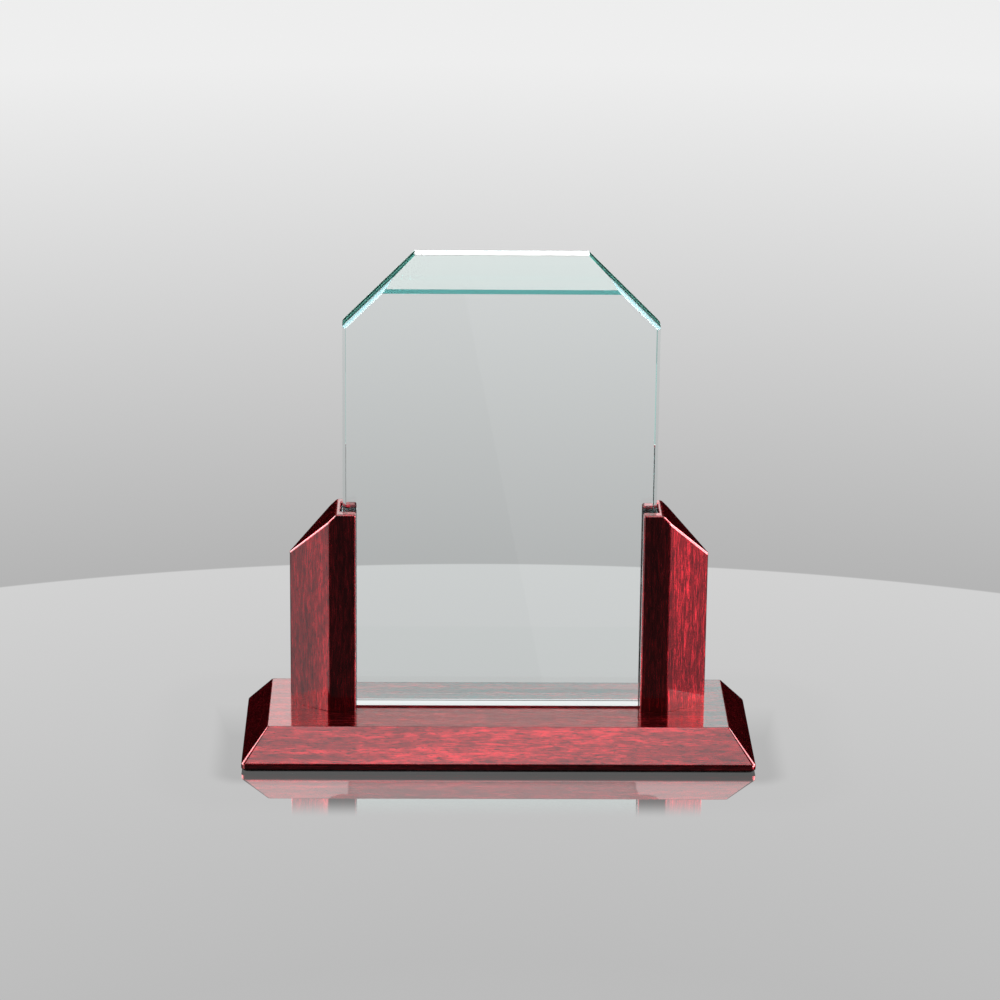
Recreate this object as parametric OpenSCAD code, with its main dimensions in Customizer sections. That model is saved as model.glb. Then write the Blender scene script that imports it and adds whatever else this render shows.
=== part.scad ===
// Free-standing award plaque: a clear glass plate with clipped corners and a
// bevelled top edge. It stands in felt-lined grooves in two lacquered wooden
// posts, which are screwed and dowelled from below to a bevelled wooden base.
// Millimetres, +Z up. The origin is on the surface the plaque stands on, at
// the middle of the base, and the front of the plaque faces -Y.

/* [Base board] */
// Length of the board at its foot
base_l = 250; // [220:1:300]
// Depth of the board at its foot, front to back
base_d = 90; // [75:1:120]
// Thickness of the board, without the felt under it
board_t = 18; // [16:0.5:24]
// Width of the bevel on all four sides, seen from above
bevel_w = 12.5; // [8:0.5:14]
// Height of the upright foot below the bevel
foot_h = 3; // [2.6:0.1:5]
// Radius of the soft edge between the foot and the bevel
foot_r = 2; // [1:0.5:4]
// Radius of the soft edge between the bevel and the flat top
top_r = 1.2; // [0.5:0.1:2]
// Radius of the edge under the foot
under_r = 0.8; // [0.3:0.1:1]

/* [Felt] */
// Thickness of the felt sheet under the board
felt_t = 1; // [0.5:0.1:2]
// Distance from the board's edge in to the felt's edge
felt_inset = 0.8; // [0.5:0.1:6]
// Radius of the felt's corners
felt_corner_r = 3; // [1:0.5:8]
// Thickness of the felt that lines each groove
liner_t = 1; // [0.6:0.1:1.5]
// Distance from the top of a post down to its liner
liner_drop = 1.5; // [0.5:0.5:6]

/* [Posts] */
// Distance between the inner faces of the two posts
post_gap = 139.4; // [135:0.1:141]
// Width of a post, from its inner face to its outer edge
post_w = 32.4; // [28:0.1:34]
// Depth of a post, front to back
post_d = 25.6; // [24:0.1:34]
// Height of a post at its inner face
post_h = 102; // [80:1:130]
// Width of a post's flat front face, before the side facet starts
front_flat = 13.1; // [11:0.1:15]
// Width of a post's flat top, before the slope starts
top_flat = 9.6; // [9:0.1:12]
// Angle of the slope at the top of a post, below the horizontal
slope_deg = 45; // [30:1:50]
// Width of a post's narrow outer edge, front to back
tip_w = 2; // [1:0.1:4]

/* [Glass plate] */
// Width of the plate
glass_w = 152.4; // [150:0.1:154]
// Height of the plate
glass_h = 228.6; // [180:0.1:260]
// Thickness of the plate
glass_t = 12.7; // [10:0.1:14]
// Length of each clipped top corner, along the side and along the top
clip = 34.5; // [20:0.5:45]
// Height of the bevel along the top of the front face
glass_bevel_h = 17; // [10:0.5:25]
// Thickness left at the top of the bevel
glass_top_t = 8.4; // [3:0.1:10]
// Width of the polished arris along the plate's upright edges
arris = 1.5; // [0.5:0.1:2]
// Width of the finer arris along the plate's two bottom edges
low_arris = 0.4; // [0.2:0.1:1]

/* [Fits] */
// Clearance between the plate and the felt on each side
slide_gap = 0.1; // [0.05:0.01:0.1]
// Thickness of the two clear pads that the plate stands on
pad_t = 0.8; // [0.4:0.1:1]
// Length of a pad, along the plate
pad_l = 5; // [3:0.5:6]
// Depth of a pad, front to back
pad_d = 9; // [6:0.5:9.5]

/* [Screws and dowels] */
// Outer diameter of the screw's thread
thread_d = 4.4; // [3.5:0.1:5]
// Diameter of the screw's core
core_d = 3; // [2.4:0.1:3.4]
// Length of the screw below its head
screw_l = 38; // [34:1:44]
// Thread pitch
pitch = 2; // [1.6:0.1:2.6]
// Diameter of the screw's pan head
head_d = 8.4; // [7:0.1:9]
// Height of the screw's head
head_h = 2.8; // [2:0.1:3]
// Outer diameter of the washer
washer_d = 11; // [10:0.5:12]
// Thickness of the washer
washer_t = 1.2; // [0.8:0.1:1.6]
// Diameter of the recess in the board for the head and the washer
recess_d = 13; // [12:0.5:14]
// Depth of that recess
recess_h = 5; // [4.5:0.1:6]
// Distance from a post's inner face to its screw
screw_in = 14.3; // [13:0.1:15]
// Diameter of the dowel
dowel_d = 6; // [5:0.5:6]
// Length of the dowel
dowel_l = 20; // [16:1:22]
// Distance from a post's inner face to its dowel
dowel_in = 23.3; // [22:0.1:24]
// Clearance round the dowel and round the screw's thread
hole_gap = 0.05; // [0.02:0.01:0.1]

/* [Hidden] */
$fn = 48;
LEFT = -1;
RIGHT = 1;
cut = 1;                  // how far a cutting shape runs past what it cuts

board_z = felt_t;
board_top = board_z + board_t;
post_in = post_gap / 2;
post_out = post_in + post_w;
post_top = board_top + post_h;
groove_w = glass_t + 2 * (slide_gap + liner_t);
groove_end = glass_w / 2 + slide_gap + liner_t;
glass_z = board_top + pad_t;
screw_x = post_in + screw_in;
dowel_x = post_in + dowel_in;
recess_top = board_z + recess_h;
head_top = recess_top - washer_t;          // the head bears on the washer here
screw_tip = head_top + screw_l;
board_screw_d = thread_d + 0.6;
dowel_end_gap = 1;
dowel_z = board_top - dowel_l / 2;

// Points of an arc about (x, z), from angle a0 to a1
function arc(x, z, r, a0, a1, n = 6) =
    [for (i = [0:n]) let (a = a0 + (a1 - a0) * i / n) [x + r * cos(a), z + r * sin(a)]];

// A mirrored outline: the given right-hand points, then their mirror images
function both_sides(points) =
    concat(points, [for (i = [len(points) - 1:-1:0]) [-points[i][0], points[i][1]]]);

// Outline of the board across one of its sides: edge, foot, bevel and top
module board_outline(half) {
    face_deg = atan2(bevel_w, board_t - foot_h);    // the bevel's normal, above horizontal
    foot_run = foot_r * tan(face_deg / 2);
    top_run = top_r * tan((90 - face_deg) / 2);
    polygon(both_sides(concat(
        arc(half - under_r, board_z + under_r, under_r, -90, 0),
        arc(half - foot_r, board_z + foot_h - foot_run, foot_r, 0, face_deg),
        arc(half - bevel_w - top_run, board_top - top_r, top_r, face_deg, 90))));
}

// An outline drawn in X and Z, extruded along Y about the middle plane
module along_y(depth) {
    translate([0, depth / 2, 0]) rotate([90, 0, 0]) linear_extrude(depth) children();
}

// An outline drawn in Y and Z, extruded along X about the middle plane
module along_x(length) {
    rotate([0, 0, 90]) along_y(length) children();
}

module base_board() {
    color("#5a1519") difference() {
        intersection() {
            along_y(base_d + 2 * cut) board_outline(base_l / 2);
            along_x(base_l + 2 * cut) board_outline(base_d / 2);
        }
        for (side = [LEFT, RIGHT]) {
            translate([side * screw_x, 0, board_z - cut]) {
                cylinder(d = recess_d, h = recess_h + cut);
                cylinder(d = board_screw_d, h = board_t + 2 * cut);
            }
            translate([side * dowel_x, 0, dowel_z - dowel_end_gap])
                cylinder(d = dowel_d + 2 * hole_gap, h = dowel_l);
        }
    }
}

// One closed sheet that also covers the screw recesses
module base_felt() {
    color("#1b1b1d") linear_extrude(felt_t) difference() {
        square([base_l - 2 * felt_inset, base_d - 2 * felt_inset], center = true);
        for (x = [-1, 1], y = [-1, 1])
            translate([x * (base_l / 2 - felt_inset), y * (base_d / 2 - felt_inset)])
                difference() {
                    square(2 * felt_corner_r, center = true);
                    translate([-x * felt_corner_r, -y * felt_corner_r]) circle(felt_corner_r);
                }
    }
}

// Plan of a right-hand post: flat front and back, two facets, a narrow outer edge
module post_plan() {
    polygon([[post_in, -post_d / 2], [post_in + front_flat, -post_d / 2],
             [post_out, -tip_w / 2], [post_out, tip_w / 2],
             [post_in + front_flat, post_d / 2], [post_in, post_d / 2]]);
}

// Front outline of a right-hand post: flat top, then the slope down and out
module post_elevation() {
    slope_drop = (post_w - top_flat) * tan(slope_deg);
    polygon([[post_in, board_top], [post_out, board_top], [post_out, post_top - slope_drop],
             [post_in + top_flat, post_top], [post_in, post_top]]);
}

module post(side) {
    scale_x = side == RIGHT ? 0 : 1;
    color("#6e1a1e") mirror([scale_x, 0, 0]) difference() {
        intersection() {
            translate([0, 0, board_top]) linear_extrude(post_h) post_plan();
            along_y(post_d + 2 * cut) post_elevation();
        }
        translate([post_in - cut, -groove_w / 2, board_top - cut])
            cube([groove_end - post_in + cut, groove_w, post_h + 2 * cut]);
        translate([screw_x, 0, board_top - cut])
            cylinder(d = thread_d + 2 * hole_gap, h = screw_tip - board_top + 2 * cut);
        translate([dowel_x, 0, board_top - cut])
            cylinder(d = dowel_d + 2 * hole_gap, h = dowel_l / 2 + dowel_end_gap + cut);
    }
}

module left_post() post(LEFT);
module right_post() post(RIGHT);

// Felt glued round the three walls of a groove
module groove_felt(side) {
    liner_h = post_h - liner_drop;
    inner_w = groove_w - 2 * liner_t;
    color("#202024") mirror([side == RIGHT ? 0 : 1, 0, 0]) difference() {
        translate([post_in, -groove_w / 2, board_top])
            cube([groove_end - post_in, groove_w, liner_h]);
        translate([post_in - cut, -inner_w / 2, board_top - cut])
            cube([groove_end - liner_t - post_in + cut, inner_w, liner_h + 2 * cut]);
    }
}

module left_groove_felt() groove_felt(LEFT);
module right_groove_felt() groove_felt(RIGHT);

// Two thin clear pads inside the grooves, one under each end of the plate
module setting_pads() {
    color("#dfe6e4") for (side = [LEFT, RIGHT])
        translate([side * (glass_w / 2 - pad_l / 2 - arris / 2), 0, board_top + pad_t / 2])
            cube([pad_l, pad_d, pad_t], center = true);
}

// The plate is the common part of its front outline, its side profile and its plan
module glass_plate() {
    half_w = glass_w / 2;
    half_t = glass_t / 2;
    top = glass_z + glass_h;
    color("#bfe6da", 0.45) intersection() {
        along_y(glass_t + 2 * cut) polygon(both_sides([
            [half_w, glass_z], [half_w, top - clip], [half_w - clip, top]]));
        along_x(glass_w + 2 * cut) polygon([
            [low_arris - half_t, glass_z], [half_t - low_arris, glass_z],
            [half_t, glass_z + low_arris],
            [half_t, top], [half_t - glass_top_t, top], [-half_t, top - glass_bevel_h],
            [-half_t, glass_z + low_arris]]);
        translate([0, 0, glass_z - cut]) linear_extrude(glass_h + 2 * cut)
            polygon(both_sides([
                [half_w - arris, -half_t], [half_w, arris - half_t],
                [half_w, half_t - arris], [half_w - arris, half_t]]));
    }
}

// Pan-head wood screw, driven upwards: cross recess below, pointed tip above
module post_screw(side) {
    thread_l = 24;
    tip_l = 5;
    thread_z = screw_tip - thread_l;
    turns = floor((thread_l - tip_l) / pitch);
    slot_w = 1.1;
    slot_l = 4.4;
    slot_deep = 1.5;
    color("#b9bbb8") translate([side * screw_x, 0, 0]) difference() {
        rotate_extrude() polygon(concat(
            [[0, head_top - head_h], [head_d * 0.3, head_top - head_h]],
            arc(head_d * 0.3, head_top - head_h * 0.45, head_d * 0.2, -90, 0, 4),
            [[head_d / 2, head_top], [core_d / 2 + 0.3, head_top],
             [core_d / 2 + 0.3, thread_z]],
            [for (i = [0:turns - 1], k = [0, 1])
                [k == 0 ? core_d / 2 : thread_d / 2, thread_z + (i + 0.5 * k + 0.25) * pitch]],
            [[core_d / 2, screw_tip - tip_l], [0, screw_tip]]));
        for (turn = [0, 90])
            rotate([0, 0, turn]) translate([0, 0, head_top - head_h])
                cube([slot_l, slot_w, 2 * slot_deep], center = true);
    }
}

module left_post_screw() post_screw(LEFT);
module right_post_screw() post_screw(RIGHT);

module screw_washer(side) {
    color("#c9cac6") translate([side * screw_x, 0, head_top]) difference() {
        cylinder(d = washer_d, h = washer_t);
        translate([0, 0, -cut]) cylinder(d = board_screw_d, h = washer_t + 2 * cut);
    }
}

module left_screw_washer() screw_washer(LEFT);
module right_screw_washer() screw_washer(RIGHT);

// Dowel with a chamfer at both ends
module post_dowel(side) {
    chamfer = 0.8;
    r = dowel_d / 2;
    color("#d9b98a") translate([side * dowel_x, 0, dowel_z]) rotate_extrude() polygon([
        [0, 0], [r - chamfer, 0], [r, chamfer], [r, dowel_l - chamfer],
        [r - chamfer, dowel_l], [0, dowel_l]]);
}

module left_post_dowel() post_dowel(LEFT);
module right_post_dowel() post_dowel(RIGHT);

base_board();
base_felt();
left_post();
right_post();
left_groove_felt();
right_groove_felt();
setting_pads();
left_post_screw();
right_post_screw();
left_screw_washer();
right_screw_washer();
left_post_dowel();
right_post_dowel();
glass_plate();
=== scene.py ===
"""A free-standing award plaque: a clear glass plate with clipped corners, held in two
lacquered rosewood posts on a bevelled rosewood base with felt under it. Metres, +Z up."""

import math

import bmesh
import bpy
from mathutils import Matrix, Vector, noise


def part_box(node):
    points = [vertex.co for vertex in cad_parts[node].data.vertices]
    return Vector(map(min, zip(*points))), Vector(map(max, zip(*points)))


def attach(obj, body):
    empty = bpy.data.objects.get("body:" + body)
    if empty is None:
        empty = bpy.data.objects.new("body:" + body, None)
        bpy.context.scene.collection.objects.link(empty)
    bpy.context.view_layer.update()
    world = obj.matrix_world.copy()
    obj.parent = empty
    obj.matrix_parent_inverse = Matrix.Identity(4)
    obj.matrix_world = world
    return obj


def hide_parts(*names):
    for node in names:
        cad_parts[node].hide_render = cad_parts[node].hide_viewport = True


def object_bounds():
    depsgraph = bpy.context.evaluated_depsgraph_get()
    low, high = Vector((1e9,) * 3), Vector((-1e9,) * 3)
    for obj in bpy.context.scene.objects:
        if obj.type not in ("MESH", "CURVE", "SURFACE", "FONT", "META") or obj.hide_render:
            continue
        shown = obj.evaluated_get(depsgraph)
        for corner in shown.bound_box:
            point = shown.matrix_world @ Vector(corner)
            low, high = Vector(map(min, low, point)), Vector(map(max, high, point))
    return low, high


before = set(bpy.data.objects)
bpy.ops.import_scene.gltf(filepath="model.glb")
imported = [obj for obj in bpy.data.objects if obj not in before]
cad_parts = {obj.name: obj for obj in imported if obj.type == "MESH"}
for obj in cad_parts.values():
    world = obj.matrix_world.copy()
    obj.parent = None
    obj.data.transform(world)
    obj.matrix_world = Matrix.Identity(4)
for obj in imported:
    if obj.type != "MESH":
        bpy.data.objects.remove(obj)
CAD_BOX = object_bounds()
MM = 0.001
SIDES = ("left", "right")
NEAR = 0.1 * MM            # places closer than this count as the same
WELD = 0.002 * MM          # vertices closer than this are joined


# ---------------------------------------------------------------- shader building

class Graph:
    """A node tree that takes one short call for each node."""

    def __init__(self, owner):
        owner.use_nodes = True
        self.tree = owner.node_tree
        self.tree.nodes.clear()

    def add(self, kind, inputs=(), **settings):
        """A new node, with its settings and with its inputs set or linked by name or number."""
        node = self.tree.nodes.new("ShaderNode" + kind)
        for key, value in settings.items():
            setattr(node, key, value)
        for key, value in dict(inputs).items():
            self.put(node.inputs[key], value)
        return node

    def put(self, socket, value):
        if isinstance(value, bpy.types.Node):
            value = value.outputs[0]
        if isinstance(value, bpy.types.NodeSocket):
            self.tree.links.new(value, socket)
        else:
            socket.default_value = value

    def math(self, operation, *values):
        return self.add("Math", enumerate(values), operation=operation)

    def total(self, *values):
        out = values[0]
        for value in values[1:]:
            out = self.math("ADD", out, value)
        return out

    def product(self, *values):
        out = values[0]
        for value in values[1:]:
            out = self.math("MULTIPLY", out, value)
        return out

    def remap(self, value, low, high, to_low=0.0, to_high=1.0, smooth=False):
        """value from low..high, mapped to to_low..to_high and held at the ends."""
        names = ("Value", "From Min", "From Max", "To Min", "To Max")
        kind = "SMOOTHSTEP" if smooth else "LINEAR"
        inputs = zip(names, (value, low, high, to_low, to_high))
        return self.add("MapRange", inputs, interpolation_type=kind)

    def window(self, value, rise, fall):
        """1 between rise and fall, with soft edges; each is a (start, end) pair."""
        up = self.remap(value, *rise, smooth=True)
        down = self.remap(value, *fall, 1.0, 0.0, smooth=True)
        return self.product(up, down)

    def length(self, across, along):
        """The length of the vector with these two parts."""
        return self.math("SQRT", self.total(self.product(across, across),
                                            self.product(along, along)))

    def blend(self, factor, first, second):
        """Two colours mixed by factor."""
        node = self.add("Mix", {0: factor, 6: first, 7: second}, data_type="RGBA")
        return node.outputs[2]

    def texture(self, kind, place, scale, **more):
        """A texture at place, stretched by the three scales, in features per metre."""
        at = self.add("Mapping", {"Vector": place, "Scale": scale})
        settings = {k: v for k, v in more.items() if k.islower()}
        inputs = {k: v for k, v in more.items() if not k.islower()}
        return self.add(kind, {"Vector": at, "Scale": 1.0, **inputs}, **settings)

    def bump(self, height, distance, strength):
        inputs = {"Height": height, "Distance": distance, "Strength": strength}
        return self.add("Bump", inputs)


def material(name):
    made = bpy.data.materials.new(name)
    return made, Graph(made)


def finish_shader(g, shader, volume=None):
    out = g.add("OutputMaterial", {"Surface": shader})
    if volume:
        g.put(out.inputs["Volume"], volume)


# ---------------------------------------------------------------- materials

def rosewood(name, along):
    """Dark red stained wood under thick clear lacquer, with its grain along axis 0, 1 or 2."""
    made, g = material(name)
    place = g.add("TexCoord").outputs["Object"]

    def stretched(length, width):
        """Features per metre for features this long and this wide, in millimetres."""
        return [1000 / (length if axis == along else width) for axis in range(3)]

    sway = g.texture("TexNoise", place, stretched(60, 18), Detail=2.0)
    bent = g.add("VectorMath", {0: sway.outputs["Color"], "Scale": 0.004}, operation="SCALE")
    place = g.add("VectorMath", {0: place, 1: bent}, operation="ADD").outputs[0]

    figure = g.texture("TexNoise", place, stretched(120, 6), Detail=3.0, Roughness=0.55)
    fibre = g.texture("TexNoise", place, stretched(11, 0.65), Detail=4.0, Roughness=0.7)
    streak = g.texture("TexNoise", place, stretched(7, 1.7), Detail=2.0, Roughness=0.5)
    pore = g.texture("TexNoise", place, stretched(3.2, 0.5), Detail=1.0, Roughness=0.4)

    tone = g.total(g.product(figure, 0.34), g.product(fibre, 0.42), g.product(streak, 0.24))
    tone = g.remap(tone, 0.36, 0.64)
    colour = g.add("ValToRGB", {"Fac": tone})
    ramp = colour.color_ramp
    ramp.elements[0].position = 0.0
    ramp.elements[0].color = (0.045, 0.003, 0.005, 1)
    ramp.elements[1].position = 1.0
    ramp.elements[1].color = (0.56, 0.020, 0.032, 1)
    middle = ramp.elements.new(0.5)
    middle.color = (0.19, 0.007, 0.012, 1)
    pores = g.remap(pore, 0.60, 0.70, smooth=True)
    colour = g.blend(g.product(pores, 0.65), colour.outputs[0], (0.02, 0.002, 0.003, 1))

    grain_bump = g.bump(g.total(g.product(fibre, 0.4), g.product(pores, -0.6)), 0.00006, 0.5)
    peel = g.texture("TexNoise", g.add("TexCoord").outputs["Object"], [260] * 3, Detail=1.0)
    lacquer_bump = g.bump(peel, 0.00002, 0.35)
    shader = g.add("BsdfPrincipled", {
        "Base Color": colour, "Metallic": 0.78,
        "Roughness": g.remap(fibre, 0.3, 0.7, 0.20, 0.30),
        "Specular IOR Level": 0.2, "Specular Tint": (1.0, 0.30, 0.38, 1), "Normal": grain_bump,
        "Coat Weight": 1.0, "Coat Roughness": 0.035, "Coat IOR": 1.5,
        "Coat Normal": lacquer_bump})
    finish_shader(g, shader)
    return made


def black_felt():
    """Pressed wool felt: matt, uneven, with short fibres lying every way."""
    made, g = material("black_felt")
    place = g.add("TexCoord").outputs["Object"]
    cloud = g.texture("TexNoise", place, [220] * 3, Detail=3.0)
    tuft = g.texture("TexNoise", place, [1500] * 3, Detail=4.0, Roughness=0.7, Distortion=1.5)
    hair = g.texture("TexVoronoi", place, [2600, 900, 1700], feature="DISTANCE_TO_EDGE")
    hairs = g.remap(hair.outputs["Distance"], 0.0, 0.12, 1.0, 0.0)
    tone = g.total(g.product(cloud, 0.4), g.product(tuft, 0.45), g.product(hairs, 0.15))
    colour = g.blend(g.remap(tone, 0.3, 0.7), (0.008, 0.008, 0.009, 1), (0.040, 0.040, 0.044, 1))
    shader = g.add("BsdfPrincipled", {
        "Base Color": colour, "Roughness": 0.95, "Specular IOR Level": 0.15,
        "Sheen Weight": 0.5, "Sheen Roughness": 0.5, "Sheen Tint": (0.55, 0.55, 0.58, 1),
        "Normal": g.bump(g.total(tuft, g.product(hairs, 0.5)), 0.00025, 0.8)})
    finish_shader(g, shader)
    return made


def glass():
    """Polished plate glass, jade green along long paths and nearly clear through its faces."""
    made, g = material("jade_glass")
    solid = g.add("BsdfPrincipled", {
        "Base Color": (1, 1, 1, 1), "Roughness": 0.0, "IOR": 1.52, "Transmission Weight": 1.0})
    clear = g.add("BsdfTransparent", {"Color": (0.95, 1.0, 0.985, 1)})
    lamp_ray = g.add("LightPath").outputs["Is Shadow Ray"]
    shader = g.add("MixShader", {0: lamp_ray, 1: solid, 2: clear})
    tint = g.add("VolumeAbsorption", {"Color": (0.14, 0.90, 0.80, 1), "Density": 3.8})
    finish_shader(g, shader, tint)
    return made


def glass_edge(name, *stops):
    """A narrow ground face of the plate, nearly opaque. Its bands of colour are painted: they
    stand in for the green light that comes out of the glass there.

    Each stop is (share of the way from the plate's front to its back, colour)."""
    made, g = material(name)
    place = g.add("TexCoord").outputs["Object"]
    across = g.add("SeparateXYZ", {0: place}).outputs["Y"]
    low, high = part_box("glass_plate")
    bands = g.add("ValToRGB", {"Fac": g.remap(across, low.y, high.y)})
    ramp = bands.color_ramp
    ramp.elements[0].color = (*stops[0][1], 1)
    ramp.elements[1].color = (*stops[-1][1], 1)
    for position, colour in stops[1:-1]:
        ramp.elements.new(position).color = (*colour, 1)
    ground = g.texture("TexNoise", place, [1400] * 3, Detail=2.0)
    shader = g.add("BsdfPrincipled", {
        "Base Color": bands, "Roughness": g.remap(ground, 0.3, 0.7, 0.05, 0.16), "IOR": 1.52,
        "Transmission Weight": 0.12, "Normal": g.bump(ground, 0.00003, 0.3)})
    finish_shader(g, shader)
    return made


def clear_vinyl():
    """Soft clear vinyl with a faint haze and fine moulding texture."""
    made, g = material("clear_vinyl")
    place = g.add("TexCoord").outputs["Object"]
    haze = g.texture("TexNoise", place, [900] * 3, Detail=2.0)
    shader = g.add("BsdfPrincipled", {
        "Base Color": (0.93, 0.96, 0.95, 1), "Roughness": g.remap(haze, 0.3, 0.7, 0.12, 0.3),
        "IOR": 1.53, "Transmission Weight": 0.9, "Normal": g.bump(haze, 0.00005, 0.3)})
    finish_shader(g, shader)
    return made


def zinc_steel():
    """Bright zinc plate on steel, with cloudy spangle and fine turning marks."""
    made, g = material("zinc_steel")
    place = g.add("TexCoord").outputs["Object"]
    spangle = g.texture("TexVoronoi", place, [700] * 3, Randomness=1.0)
    mark = g.texture("TexNoise", place, [300, 300, 4500], Detail=2.0)
    tone = g.total(g.product(spangle.outputs["Distance"], 0.6), g.product(mark, 0.4))
    colour = g.blend(g.remap(tone, 0.2, 0.8), (0.50, 0.51, 0.53, 1), (0.74, 0.75, 0.74, 1))
    shader = g.add("BsdfPrincipled", {
        "Base Color": colour, "Metallic": 1.0, "Roughness": g.remap(tone, 0.2, 0.8, 0.2, 0.42),
        "Normal": g.bump(mark, 0.00003, 0.4)})
    finish_shader(g, shader)
    return made


def beech():
    """Turned beech: pale, with the short dark flecks of its rays along Z."""
    made, g = material("beech")
    place = g.add("TexCoord").outputs["Object"]
    grain = g.texture("TexNoise", place, [900, 900, 60], Detail=4.0, Roughness=0.6)
    fleck = g.texture("TexNoise", place, [2200, 2200, 500], Detail=1.0)
    colour = g.blend(g.remap(grain, 0.35, 0.65), (0.50, 0.30, 0.15, 1), (0.72, 0.50, 0.29, 1))
    flecks = g.remap(fleck, 0.6, 0.68)
    colour = g.blend(g.product(flecks, 0.6), colour, (0.30, 0.16, 0.08, 1))
    shader = g.add("BsdfPrincipled", {
        "Base Color": colour, "Roughness": g.remap(grain, 0.3, 0.7, 0.5, 0.68),
        "Normal": g.bump(grain, 0.00008, 0.5)})
    finish_shader(g, shader)
    return made


# ---------------------------------------------------------------- mesh building

def piece(name, mesh, finish, slot, body, *nodes):
    """Makes mesh a piece that rides on body and stands for the CAD nodes."""
    made = bpy.data.objects.new(name, mesh)
    bpy.context.scene.collection.objects.link(made)
    mesh.materials.clear()
    mesh.materials.append(finish)
    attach(made, body)
    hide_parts(*nodes)
    return made


def mesh_of(name, bm):
    bmesh.ops.recalc_face_normals(bm, faces=bm.faces)
    mesh = bpy.data.meshes.new(name)
    bm.to_mesh(mesh)
    bm.free()
    return mesh


def smooth(mesh):
    mesh.polygons.foreach_set("use_smooth", [True] * len(mesh.polygons))


def flat_faces_stay_flat(made):
    """Lets the narrow edge faces carry the turn of the light, not the wide faces."""
    smooth(made.data)
    weighted = made.modifiers.new("weighted", "WEIGHTED_NORMAL")
    weighted.weight = 100
    weighted.keep_sharp = True


def applied(made):
    """Bakes the modifiers of an object into its mesh."""
    depsgraph = bpy.context.evaluated_depsgraph_get()
    mesh = bpy.data.meshes.new_from_object(made.evaluated_get(depsgraph))
    made.modifiers.clear()
    made.data = mesh
    return made


def whole_faces(node):
    """The CAD node's shape as a bmesh, with each flat face in one piece."""
    bm = bmesh.new()
    bm.from_mesh(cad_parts[node].data)
    bmesh.ops.remove_doubles(bm, verts=bm.verts, dist=WELD)
    bmesh.ops.dissolve_limit(bm, angle_limit=math.radians(1), verts=bm.verts, edges=bm.edges)
    return bm


def bridge(bm, rings):
    """Quads between each ring of vertices and the next."""
    for low, high in zip(rings, rings[1:]):
        for i in range(len(low)):
            j = (i + 1) % len(low)
            bm.faces.new((low[i], low[j], high[j], high[i]))


def corner_ring(half_x, half_y, radius, steps=7):
    """Points round a rectangle with rounded corners, counter-clockwise."""
    points = []
    for x, y, start in ((1, 1, 0), (-1, 1, 90), (-1, -1, 180), (1, -1, 270)):
        for i in range(steps + 1):
            a = math.radians(start + 90 * i / steps)
            points.append((x * (half_x - radius) + radius * math.cos(a),
                           y * (half_y - radius) + radius * math.sin(a)))
    return points


def arc(x, z, radius, start, end, steps=6):
    """Points of an arc about (x, z), from one angle in degrees to the other."""
    angles = [math.radians(start + (end - start) * i / steps) for i in range(steps + 1)]
    return [(x + radius * math.cos(a), z + radius * math.sin(a)) for a in angles]


# ---------------------------------------------------------------- the base board

BEVEL_W = 12.5 * MM        # the bevel's width, seen from above
FOOT_H = 3.0 * MM          # height of the upright foot below it
FOOT_R = 2.0 * MM          # soft edge between foot and bevel
TOP_R = 1.2 * MM           # soft edge between bevel and top
UNDER_R = 0.8 * MM         # soft edge under the foot
CORNER_LOW = 2.4 * MM      # radius of the upright corners at the foot
CORNER_HIGH = 1.0 * MM     # and at the top
RECESS_ROOM = 1.0 * MM     # room round the washer in its recess
SCREW_HOLE_R = 2.5 * MM
DOWEL_ROOM = 0.05 * MM     # room round the dowel
HOLE_PAST = 1.0 * MM       # how far a hole runs past the board's face or the piece in it


def board_profile(height):
    """(inset, z) from the underside to the flat top, with z from the board's underside."""
    normal = math.degrees(math.atan2(BEVEL_W, height - FOOT_H))
    foot_run = FOOT_R * math.tan(math.radians(normal / 2))
    top_run = TOP_R * math.tan(math.radians((90 - normal) / 2))
    points = (arc(-UNDER_R, UNDER_R, UNDER_R, -90, 0, 4)
              + arc(-FOOT_R, FOOT_H - foot_run, FOOT_R, 0, normal, 8)
              + arc(-BEVEL_W - top_run, height - TOP_R, TOP_R, normal, 90, 8))
    return [(-x, z) for x, z in points]


def board_mesh(low, high):
    bm = bmesh.new()
    rings = []
    for inset, z in board_profile(high.z - low.z):
        share = min(inset / BEVEL_W, 1)
        radius = CORNER_LOW + (CORNER_HIGH - CORNER_LOW) * share
        outline = corner_ring(high.x - inset, high.y - inset, radius)
        rings.append([bm.verts.new((x, y, low.z + z)) for x, y in outline])
    bridge(bm, rings)
    bm.faces.new(rings[0][::-1])
    bm.faces.new(rings[-1])
    return mesh_of("base_board_visual", bm)


def holes_mesh():
    """The clearance holes for the screws and their washers, and the blind dowel holes."""
    bm = bmesh.new()
    board_low, board_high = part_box("base_board")
    for side in SIDES:
        washer_low, washer_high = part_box(f"{side}_screw_washer")
        dowel_low, dowel_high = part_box(f"{side}_post_dowel")
        screw = (washer_low + washer_high) / 2
        dowel = (dowel_low + dowel_high) / 2
        dowel_r = (dowel_high.x - dowel_low.x) / 2
        washer_r = (washer_high.x - washer_low.x) / 2
        for x, radius, bottom, top in (
                (screw.x, washer_r + RECESS_ROOM, board_low.z - HOLE_PAST, washer_high.z),
                (screw.x, SCREW_HOLE_R, washer_high.z - HOLE_PAST, board_high.z + HOLE_PAST),
                (dowel.x, dowel_r + DOWEL_ROOM, dowel_low.z - HOLE_PAST,
                 board_high.z + HOLE_PAST)):
            at = Matrix.Translation((x, 0, (bottom + top) / 2))
            bmesh.ops.create_cone(bm, cap_ends=True, segments=48, radius1=radius,
                                  radius2=radius, depth=top - bottom, matrix=at)
    return mesh_of("holes", bm)


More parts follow.
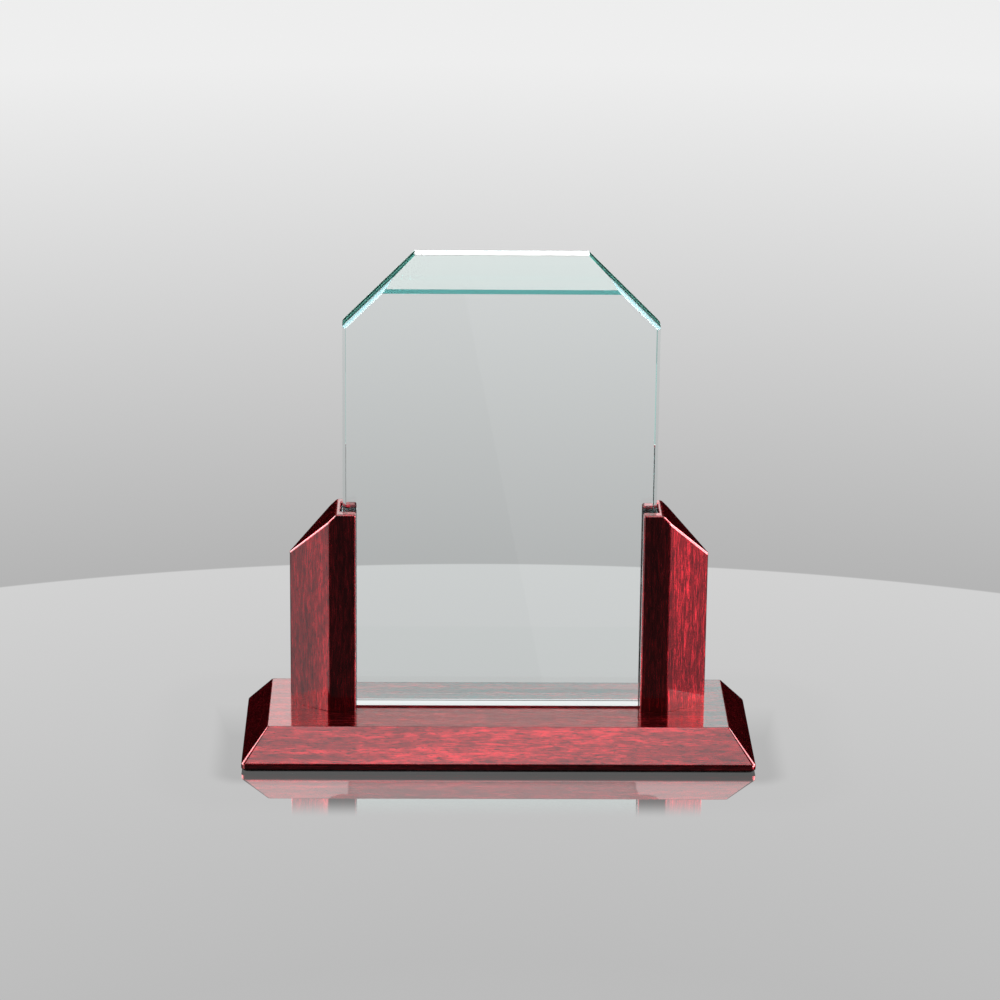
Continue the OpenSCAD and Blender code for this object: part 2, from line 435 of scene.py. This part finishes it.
def make_board():
    low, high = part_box("base_board")
    made = piece("base_board_visual", board_mesh(low, high), WOOD_ALONG_X,
                 "lacquered_rosewood", "stand", "base_board")
    cutter = bpy.data.objects.new("holes", holes_mesh())
    bpy.context.scene.collection.objects.link(cutter)
    cut = made.modifiers.new("holes", "BOOLEAN")
    cut.operation = "DIFFERENCE"
    cut.solver = "EXACT"
    cut.object = cutter
    cut.use_self = True
    applied(made)
    bpy.data.objects.remove(cutter)
    flat_faces_stay_flat(made)


# ---------------------------------------------------------------- the posts

POST_EDGE_R = 1.1 * MM     # soft outer edges of a post, under thick lacquer
GROOVE_SHARE = 0.35        # share of that radius on the edges of the groove
FOOT_SHARE = 0.2           # and round the foot of the post
TIP_SHARE = 0.4            # and on its narrow outer edge
SHALLOW = math.radians(20)     # edges that turn less than this stay as they are
HOLE_CHORD = 3 * MM        # shorter edges at the foot, round the holes and at the tip, stay sharp
HOLES_BELOW = 40 * MM      # the holes are all more than this below the post's top
FLAT_SIDES = 20            # only the foot face and the round ends of the holes have more edges
UPRIGHT_L = 30 * MM        # the groove's upright edges are over this length


def rounding_share(edge, side, post_box, felt_box):
    """The share of POST_EDGE_R that an edge of a post's CAD shape is rounded by."""
    low, high = post_box
    felt_low, felt_high = felt_box
    ends = [v.co for v in edge.verts]
    middle = (ends[0] + ends[1]) / 2
    if edge.calc_face_angle(0) < SHALLOW:
        return 0
    if all(co.z < low.z + NEAR for co in ends):
        outline = abs(middle.y) > felt_high.y or edge.calc_length() > HOLE_CHORD
        return FOOT_SHARE if outline else 0
    in_foot = any(co.z < high.z - HOLES_BELOW for co in ends)
    if in_foot and len(edge.link_faces[0].verts) > FLAT_SIDES:
        return 0
    in_groove = all(abs(co.y) < felt_high.y + NEAR
                    and felt_low.x - NEAR < co.x < felt_high.x + NEAR for co in ends)
    if in_groove:
        mouth = low.x if side == "right" else high.x
        off_mouth = abs(abs(middle.x) - abs(mouth)) > 1 * MM
        inner_corner = off_mouth and edge.calc_length() > UPRIGHT_L
        return 0 if inner_corner else GROOVE_SHARE
    at_tip = abs(middle.x) > max(abs(low.x), abs(high.x)) - NEAR
    return TIP_SHARE if at_tip else 1


def make_post(side):
    """The post's CAD shape with its outer edges rounded, and its groove and foot less so."""
    node = f"{side}_post"
    post_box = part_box(node)
    felt_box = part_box(f"{side}_groove_felt")
    bm = whole_faces(node)
    weight = bm.edges.layers.float.new("bevel_weight_edge")
    for edge in bm.edges:
        edge[weight] = rounding_share(edge, side, post_box, felt_box)
    made = piece(f"{node}_visual", mesh_of(f"{node}_visual", bm), WOOD_ALONG_Z,
                 "lacquered_rosewood", "stand", node)
    rounding = made.modifiers.new("rounding", "BEVEL")
    rounding.limit_method = "WEIGHT"
    rounding.width = POST_EDGE_R
    rounding.segments = 4
    rounding.use_clamp_overlap = False
    flat_faces_stay_flat(made)


# ---------------------------------------------------------------- the glass plate

ARRIS = 0.3 * MM           # width of the fine flat polished along the plate's edges
LINE_W = 1.1 * MM          # half the width of the ground line under the top bevel
CLIP_W = 1.9 * MM          # width of the flat along the front of each clipped corner
BODY, CLIP, LINE = 0, 1, 2     # the plate's finishes, in the order of its materials
LEAST_TURN = math.radians(8)       # an edge turns less than this where a face is only split
BEVEL_TURN = math.radians(30)      # and less than this where the face meets the top bevel
CORNER_TURN = math.radians(60)     # and more than this at a sharp edge. Where an arris meets a
                               # clip or the low arris, eight short edges turn by just this,
                               # so rounding errors decide which of them are ground
SLANT_RUN = 3 * MM             # a clipped corner's edge runs further than this in X and in Z


def cut_flat(bm, point, normal, finish):
    """Grinds a flat on a convex solid: cuts off what lies past the plane, and closes it."""
    geometry = bm.verts[:] + bm.edges[:] + bm.faces[:]
    cut = bmesh.ops.bisect_plane(bm, geom=geometry, dist=0.0001 * MM, plane_co=point,
                                 plane_no=normal, clear_outer=True)
    rim = [each for each in cut["geom_cut"] if isinstance(each, bmesh.types.BMEdge)]
    for face in bmesh.ops.contextual_create(bm, geom=rim)["faces"]:
        face.material_index = finish


def plate_flats(bm, low):
    """(width, finish, point, normal) of each flat to be ground on the plate, widest first."""
    flats = []
    for edge in bm.edges:
        turn = edge.calc_face_angle(0)
        if turn < LEAST_TURN or BEVEL_TURN <= turn < CORNER_TURN:
            continue
        normal = (edge.link_faces[0].normal + edge.link_faces[1].normal).normalized()
        ends = [v.co for v in edge.verts]
        run = ends[1] - ends[0]
        width, finish = ARRIS, BODY
        if turn < BEVEL_TURN:
            width, finish = LINE_W, LINE
        elif abs(run.x) > SLANT_RUN and abs(run.z) > SLANT_RUN:
            in_front = max(co.y for co in ends) < low.y + NEAR
            width, finish = (CLIP_W, CLIP) if in_front else (ARRIS, CLIP)
        point = (ends[0] + ends[1]) / 2 - normal * width * math.sin(turn / 2)
        flats.append((width, finish, point, normal))
    return sorted(flats, key=lambda flat: -flat[0])


def make_glass():
    """The CAD plate with its edges ground flat; narrow ground faces have their own finishes:
    ground, with bands of colour painted to stand in for light that comes out of the glass there.
    """
    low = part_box("glass_plate")[0]
    bm = whole_faces("glass_plate")
    bm.normal_update()
    for face in bm.faces:
        clipped = abs(face.normal.x) > 0.3 and face.normal.z > 0.3
        face.material_index = CLIP if clipped else BODY
    for _, finish, point, normal in plate_flats(bm, low):
        cut_flat(bm, point, normal, finish)
    mesh = mesh_of("glass_plate_visual", bm)
    finishes = [face.material_index for face in mesh.polygons]
    piece("glass_plate_visual", mesh, GLASS, "jade_glass", "glass", "glass_plate")
    mesh.materials.append(GLASS_CLIP)
    mesh.materials.append(GLASS_LINE)
    mesh.polygons.foreach_set("material_index", finishes)


# ---------------------------------------------------------------- felt

FELT_R = 3 * MM            # the base felt's corners
FELT_EDGE = 0.25 * MM      # the softened edge of a felt
FELT_CELL = 2 * MM         # spacing of the points that make a felt uneven
FELT_UNEVEN = 0.04 * MM    # about the most that a felt's face sinks
FELT_SUNK = 0.02 * MM      # least depth of a groove felt's faces inside its CAD shape
SLIDE_GAP = 0.1 * MM       # room between the plate and the groove felts
FOLD_R = 1.0 * MM          # radius of a groove felt's two folds
FOLD_STEP = 1.2 * MM       # spacing of the points across a groove felt


def uneven(x, y, z):
    """A small smooth height that varies over a few millimetres."""
    return FELT_UNEVEN * noise.noise(Vector((x, y, z)) / (4 * MM))


def two_sided(bm, front, back):
    """Closes two grids of points, each a list of rows, into one thin solid."""
    rows, columns = len(front), len(front[0])
    for i in range(rows - 1):
        for j in range(columns - 1):
            bm.faces.new((front[i][j], front[i][j + 1], front[i + 1][j + 1], front[i + 1][j]))
            bm.faces.new((back[i][j], back[i + 1][j], back[i + 1][j + 1], back[i][j + 1]))
    rim = ([(0, j) for j in range(columns)] + [(i, columns - 1) for i in range(1, rows)]
           + [(rows - 1, j) for j in range(columns - 2, -1, -1)]
           + [(i, 0) for i in range(rows - 2, 0, -1)])
    for (i, j), (k, m) in zip(rim, rim[1:] + rim[:1]):
        bm.faces.new((front[i][j], back[i][j], back[k][m], front[k][m]))


def make_base_felt():
    """One sheet of felt under the board, softly rounded at its corners and edge."""
    low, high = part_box("base_felt")
    columns = round((high.x - low.x) / FELT_CELL)
    rows = round((high.y - low.y) / FELT_CELL)
    bm = bmesh.new()
    layers = []
    for z, inward in ((low.z, 1), (high.z, -1)):
        layer = []
        for i in range(rows + 1):
            row = []
            for j in range(columns + 1):
                x = low.x + (high.x - low.x) * j / columns
                y = low.y + (high.y - low.y) * i / rows
                centre = Vector((math.copysign(high.x - FELT_R, x),
                                 math.copysign(high.y - FELT_R, y)))
                reach = Vector((x, y)) - centre
                if abs(x) > high.x - FELT_R and abs(y) > high.y - FELT_R:
                    longest = max(abs(reach.x), abs(reach.y))
                    if reach.length > 0:
                        reach *= longest / reach.length
                    x, y = centre + reach
                on_edge = i in (0, rows) or j in (0, columns)
                lift = FELT_EDGE if on_edge else abs(uneven(x, y, z))
                row.append(bm.verts.new((x, y, z + inward * lift)))
            layer.append(row)
        layers.append(layer)
    two_sided(bm, *layers)
    made = piece("base_felt_visual", mesh_of("base_felt_visual", bm), FELT,
                 "black_felt", "stand", "base_felt")
    smooth(made.data)


def groove_path(inner, wall, half, radius, step):
    """Points and outward normals round the inside of a groove, open at x = inner."""
    path = []
    straight = wall - radius - inner
    count = max(2, round(straight / step))
    for i in range(count + 1):
        path.append(((inner + straight * i / count, -half), (0, -1)))
    for i in range(1, 5):
        a = math.radians(-90 + 90 * i / 4)
        path.append(((wall - radius + radius * math.cos(a), -half + radius
                      + radius * math.sin(a)), (math.cos(a), math.sin(a))))
    mirrored = [((x, -y), (nx, -ny)) for (x, y), (nx, ny) in reversed(path)]
    across = max(2, round(2 * (half - radius) / step))
    middle = [((wall, (half - radius) * (2 * i / across - 1)), (1, 0))
              for i in range(1, across)]
    return path + middle + mirrored


def make_groove_felt(side):
    """A strip of felt folded into a U, glued round the groove of a post."""
    node = f"{side}_groove_felt"
    low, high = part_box(node)
    sign = 1 if side == "right" else -1
    inner = min(abs(low.x), abs(high.x))
    wall = max(abs(low.x), abs(high.x))
    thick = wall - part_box("glass_plate")[1].x - SLIDE_GAP
    path = groove_path(inner, wall - thick / 2, high.y - thick / 2, FOLD_R, FOLD_STEP)
    rows = round((high.z - low.z) / FELT_CELL)
    bm = bmesh.new()
    layers = []
    for way in (1, -1):
        layer = []
        for i in range(rows + 1):
            z = low.z + (high.z - low.z) * i / rows
            row = []
            for j, ((x, y), (nx, ny)) in enumerate(path):
                on_edge = i in (0, rows) or j in (0, len(path) - 1)
                sunk = FELT_EDGE if on_edge else FELT_SUNK + abs(uneven(x * way, y, z))
                out = way * (thick / 2 - sunk)
                row.append(bm.verts.new((sign * (x + nx * out), y + ny * out, z)))
            layer.append(row)
        layers.append(layer)
    two_sided(bm, *layers)
    made = piece(f"{node}_visual", mesh_of(f"{node}_visual", bm), FELT,
                 "black_felt", "stand", node)
    smooth(made.data)


# ---------------------------------------------------------------- carried-over nodes

def dress(node, finish, edge=0.0):
    """Gives a CAD node its material, and finely rounded edges where edge says so."""
    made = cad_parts[node]
    made.data.materials.clear()
    made.data.materials.append(finish)
    weld = made.modifiers.new("weld", "WELD")
    weld.merge_threshold = WELD
    if edge:
        rounding = made.modifiers.new("rounding", "BEVEL")
        rounding.width = edge
        rounding.segments = 2
        rounding.limit_method = "ANGLE"
        rounding.angle_limit = math.radians(35)


# ---------------------------------------------------------------- stage, light, camera

FLOOR_REACH = 9.0          # half the floor's width
TABLE_R = 0.808            # the pale round area that the plaque stands near the back of
TABLE_Y = -0.545
TENT_GREY = 1.15           # brightness of the white panels behind the plaque
MIRRORED_GREY = 0.945      # how bright they look in the floor, as measured in a render
SHINE = 0.45               # share of light that the polished patch mirrors at a low angle
SHINE_FRESNEL = (0.06, 0.155)  # Fresnel shares between which that rises from 0 to its most
SHINE_REACH = (0.032, 0.056)   # how far from the plaque the polished patch fades out
CONTACT_SHADE = 0.5        # how dark the painted contact shadow makes the floor in front of and right beside the plaque
CONTACT_REACH = (0.006, 0.018) # how far from the plaque that shade fades out
TABLE_FADE = (0.29, 0.81)  # the round area's grey changes between these radii
TABLE_GREY = (0.50, 0.645) # from the first of these to the second
TABLE_EDGE = 0.001         # half the width of its soft rim
SURROUND_REACH = 1.27      # the floor outside it grows paler over this distance
SURROUND_GREY = 0.456      # its grey at the rim
SURROUND_RISE = 0.52       # how fast it grows paler there
SURROUND_EASE = 0.12       # and how much less at the far end
FLOOR_DROP = 0.05 * MM     # keeps the floor just clear of the felt


def stage_floor():
    """A pale floor that glows instead of being lit, with a mirroring patch round the plaque.
    Its greys and the shade beside the plaque are painted by place; none is a cast shadow."""
    mesh = bpy.data.meshes.new("floor")
    r = FLOOR_REACH
    mesh.from_pydata([(-r, -r, 0), (r, -r, 0), (r, r, 0), (-r, r, 0)], [], [(0, 1, 2, 3)])
    floor = bpy.data.objects.new("floor", mesh)
    bpy.context.scene.collection.objects.link(floor)
    floor.location.z = -FLOOR_DROP
    made, g = material("floor")
    spot = g.add("SeparateXYZ", {0: g.add("NewGeometry").outputs["Position"]})
    x, y = spot.outputs["X"], spot.outputs["Y"]
    from_table = g.length(x, g.math("SUBTRACT", y, TABLE_Y))
    out = g.remap(from_table, TABLE_R, TABLE_R + SURROUND_REACH)
    rise = g.math("SUBTRACT", SURROUND_RISE, g.product(out, SURROUND_EASE))
    surround = g.total(SURROUND_GREY, g.product(out, rise))
    table = g.remap(from_table, *TABLE_FADE, *TABLE_GREY)
    rim = g.remap(from_table, TABLE_R - TABLE_EDGE, TABLE_R + TABLE_EDGE)
    grey = g.add("Mix", {0: rim, 2: table, 3: surround})
    half = (CAD_BOX[1] - CAD_BOX[0]) / 2
    past_x = g.math("MAXIMUM", g.math("SUBTRACT", g.math("ABSOLUTE", x), half.x), 0.0)
    past_y = g.math("MAXIMUM", g.math("SUBTRACT", g.math("ABSOLUTE", y), half.y), 0.0)
    away = g.length(past_x, past_y)
    near = g.remap(away, *SHINE_REACH, 1.0, 0.0, smooth=True)
    behind = g.remap(y, -half.y, half.y)
    # A painted contact shadow: the floor's glow darkened close in front of and beside the plaque,
    # not a cast shadow
    contact = g.remap(away, *CONTACT_REACH, CONTACT_SHADE, 1.0, smooth=True)
    shade = g.math("MAXIMUM", behind, contact)
    fresnel = g.add("Fresnel", {"IOR": 1.5})
    share = g.product(g.remap(fresnel, *SHINE_FRESNEL), near, SHINE)
    # lit is the floor's painted glow: its painted grey, less what the mirror adds, darkened by
    # the painted contact shadow
    lit = g.math("DIVIDE", g.math("SUBTRACT", grey, g.product(share, MIRRORED_GREY)),
                 g.math("SUBTRACT", 1.0, share))
    lit = g.product(g.math("MAXIMUM", lit, 0.0), shade)
    glow = g.add("Emission", {"Color": g.add("CombineColor", {0: lit, 1: lit, 2: lit})})
    mirror = g.add("BsdfGlossy", {"Color": (1, 1, 1, 1), "Roughness": 0.0})
    upper = g.add("MixShader", {0: share, 1: glow, 2: mirror})
    from_below = g.add("NewGeometry").outputs["Backfacing"]
    clear = g.add("BsdfTransparent")
    finish_shader(g, g.add("MixShader", {0: from_below, 1: upper, 2: clear}))
    mesh.materials.append(made)
    floor.visible_glossy = False
    floor.visible_diffuse = False
    floor.visible_shadow = False


def studio_world():
    """White panels round and over the plaque, as brightness by direction. The camera sees a
    plain grey instead of them, and so does the floor's mirror."""
    world = bpy.data.worlds.new("studio")
    bpy.context.scene.world = world
    g = Graph(world)
    way = g.add("SeparateXYZ", {0: g.add("TexCoord").outputs["Generated"]})
    x, y, z = (way.outputs[i] for i in range(3))
    up = g.product(g.math("ARCSINE", z), 180 / math.pi)
    turn = g.product(g.math("ARCTAN2", x, y), 180 / math.pi)   # 0 behind, 90 at the right
    aside = g.math("ABSOLUTE", turn)
    behind = g.remap(aside, 92, 104, 1.0, 0.1, smooth=True)
    tent = g.product(g.window(up, (15.5, 18), (40, 48)), behind, TENT_GREY)
    overhead = g.product(g.remap(up, 78, 84, smooth=True), 5.0)
    overhead_back = g.product(g.remap(up, 66, 72, smooth=True),
                              g.remap(aside, 60, 90, 1.0, 0.0, smooth=True), 4.5)
    front_top = g.product(g.window(up, (48, 53), (74, 79)),
                          g.remap(aside, 120, 135, smooth=True), 3.6)
    strips = g.product(g.window(up, (6, 10), (50, 58)), g.window(aside, (50, 54), (78, 82)), 9.0)
    edge_glow = g.product(g.window(up, (-4, 0), (32, 38)), g.window(aside, (56, 60), (116, 122)),
                          8.0)
    right_box = g.product(g.window(up, (-14, -10), (6, 13)),
                          g.window(turn, (92, 100), (134, 146)), 24.0)
    right_low = g.product(g.window(up, (-42, -36), (-14, -12)),
                          g.window(turn, (92, 100), (134, 146)), 0.45)
    front_low = g.product(g.window(up, (-60, -50), (-8, -4)),
                          g.remap(aside, 150, 158, smooth=True), 0.075)
    left_box = g.product(g.window(up, (-42, -36), (6, 13)),
                         g.window(turn, (-150, -140), (-98, -88)), 1.45)
    light = g.total(tent, overhead, overhead_back, front_top, strips, edge_glow,
                    right_box, right_low, left_box, front_low)
    path = g.add("LightPath")
    off_floor = g.product(path.outputs["Is Singular Ray"], path.outputs["Is Glossy Ray"],
                          g.math("GREATER_THAN", z, 0.0))
    light = g.add("Mix", {0: off_floor, 2: light, 3: TENT_GREY})
    seen = g.remap(up, -20, 60, 0.86, 0.92)
    eye = path.outputs["Is Camera Ray"]
    panels = g.add("Background", {"Strength": light})
    plain = g.add("Background", {"Strength": seen})
    both = g.add("MixShader", {0: eye, 1: panels, 2: plain})
    g.add("OutputWorld", {"Surface": both})
    world.cycles_visibility.diffuse = False


def lamp(name, place, aim, size, radiance, colour=(1, 1, 1), roll=0.0, only=()):
    """A rectangular panel at place that faces aim. only names the pieces that it lights."""
    light = bpy.data.lights.new(name, "AREA")
    light.shape = "RECTANGLE"
    light.size, light.size_y = size
    light.energy = radiance * math.pi * size[0] * size[1]
    light.color = colour
    made = bpy.data.objects.new(name, light)
    bpy.context.scene.collection.objects.link(made)
    made.location = place
    away = Vector(place) - Vector(aim)
    facing = away.to_track_quat("Z", "Y").to_matrix() @ Matrix.Rotation(roll, 3, "Z")
    made.rotation_euler = facing.to_euler()
    made.visible_camera = False
    if only:
        lit = bpy.data.collections.new(f"{name}_lights")
        for each in only:
            lit.objects.link(bpy.data.objects[each])
        made.light_linking.receiver_collection = lit
    return made


def fill_light(name, place, size, radiance):
    """A soft fill that lights matt surfaces and makes no reflection."""
    made = lamp(name, place, (0, 0, 0.1), (size, size), radiance)
    made.visible_glossy = False
    made.visible_transmission = False


GLOSS = 1.6                # brightness of the panels that the plate's lower face mirrors
GLOSS_STEPS = 5            # panels that overlap, with stepped lower edges
GLOSS_TOP = 0.12
GLOSS_BOTTOM = -0.29       # height of the lowest panel's lower edge
GLOSS_STEP = 0.02          # and how much higher each next one's is


def studio_lamps():
    """Fills for the matt surfaces, and panels that only some of the pieces mirror."""
    fill_light("fill_top", (0.0, -0.6, 2.2), 1.6, 0.35)
    fill_light("fill_left", (-2.0, -0.9, 0.9), 1.4, 0.3)
    fill_light("fill_right", (2.0, -0.9, 0.7), 1.4, 0.6)
    fill_light("fill_back", (0.3, 2.4, 1.2), 1.6, 0.5)
    fill_light("fill_under", (0.0, 0.0, -2.0), 1.6, 0.4)
    wood = ["base_board_visual", "left_post_visual", "right_post_visual"]
    lamp("back_left_panel", (-0.4175, 1.2, 0.56), (-0.4175, 0, 0.56), (0.635, 0.24), 1.4,
         only=wood)
    lamp("back_right_panel", (0.153, 1.2, 0.53), (0.153, 0, 0.53), (0.045, 0.09), 2.4,
         colour=(1.0, 0.62, 0.66), only=wood)
    back_strip = lamp("back_strip_panel", (0, 1.2, 0.5), (0, 0, 0.5), (0.5, 0.24), 1.5,
                      colour=(0.3, 1.0, 1.0), only=wood[:1])
    back_strip.visible_transmission = False
    panels = [
        ("glass_top_panel", (0, 1.2, 0.58), (0, 0, 0.58), (1.0, 0.14), 5.0, (1, 1, 1), 0),
        ("glass_edge_light", (0, -1.0, 1.6), (0, 0, 0.2), (1.2, 0.8), 9.0, (1, 1, 1), 0),
        ("glass_slant_panel", (0.245, -0.9, -0.145), (0.245, 0, -0.145), (0.45, 0.9), 0.35,
         (1, 1, 1), 11.3),
        ("glass_bevel_panel", (0, -0.88, 0.446), (0, 0, 0.24), (0.6, 0.28), 4.2,
         (0.72, 1.0, 0.93), 0)]
    for step in range(GLOSS_STEPS):
        bottom = GLOSS_BOTTOM + GLOSS_STEP * step
        middle = (GLOSS_TOP + bottom) / 2
        panels.append((f"glass_gloss_panel_{step}", (0.02, -0.95, middle), (0.02, 0, middle),
                       (0.5, GLOSS_TOP - bottom), GLOSS / GLOSS_STEPS, (1.0, 0.75, 0.86), 0))
    for name, place, aim, size, radiance, colour, roll in panels:
        made = lamp(name, place, aim, size, radiance, colour, math.radians(roll),
                    ["glass_plate_visual"])
        made.visible_transmission = False
        made.visible_glossy = name != "glass_edge_light"


CAMERA_TARGET = Vector((0.16, 0, 124.71)) * MM
CAMERA_DISTANCE = 1.982
CAMERA_TURN = -1.108       # degrees to the right of straight on
CAMERA_DOWN = 18.643
CAMERA_ROLL = 0.58
CAMERA_LENS = 146.76       # on the default 36 mm sensor


def make_camera():
    cam = bpy.data.objects.new("camera", bpy.data.cameras.new("camera"))
    bpy.context.scene.collection.objects.link(cam)
    turn, down = math.radians(CAMERA_TURN), math.radians(CAMERA_DOWN)
    back = Vector((math.sin(turn) * math.cos(down), -math.cos(turn) * math.cos(down),
                   math.sin(down)))
    cam.location = CAMERA_TARGET + back * CAMERA_DISTANCE
    facing = back.to_track_quat("Z", "Y").to_matrix()
    roll = Matrix.Rotation(math.radians(CAMERA_ROLL), 3, "Z")
    cam.rotation_euler = (facing @ roll).to_euler()
    cam.data.lens = CAMERA_LENS
    cam.data.clip_start = 0.01
    cam.data.clip_end = 60
    bpy.context.scene.camera = cam


WOOD_ALONG_X = rosewood("rosewood_board", 0)
WOOD_ALONG_Z = rosewood("rosewood_post", 2)
FELT = black_felt()
GLASS = glass()
# Painted light: the clip's bands and the line's teal stand in for light that comes out of the
# glass at these ground faces
GLASS_CLIP = glass_edge(
    "jade_glass_clip", (0.0, (0.80, 0.95, 0.97)), (0.05, (0.42, 0.76, 0.84)),
    (0.11, (0.25, 0.62, 0.68)), (0.14, (0.0, 0.07, 0.06)), (0.24, (0.01, 0.16, 0.13)),
    (0.32, (0.12, 0.56, 0.46)), (0.60, (0.34, 0.84, 0.70)), (0.70, (0.02, 0.16, 0.12)),
    (0.86, (0.01, 0.12, 0.09)), (0.93, (0.45, 0.85, 0.72)), (1.0, (0.60, 0.95, 0.85)))
GLASS_LINE = glass_edge("jade_glass_line", (0.0, (0.11, 0.40, 0.39)), (1.0, (0.11, 0.40, 0.39)))
VINYL = clear_vinyl()
ZINC = zinc_steel()
BEECH = beech()

make_board()
make_base_felt()
for each_side in SIDES:
    make_post(each_side)
    make_groove_felt(each_side)
    dress(f"{each_side}_post_screw", ZINC)
    dress(f"{each_side}_screw_washer", ZINC, 0.15 * MM)
    dress(f"{each_side}_post_dowel", BEECH, 0.2 * MM)
make_glass()
dress("setting_pads", VINYL, 0.1 * MM)

stage_floor()
studio_world()
studio_lamps()
make_camera()
bpy.context.scene.view_settings.view_transform = "Standard"
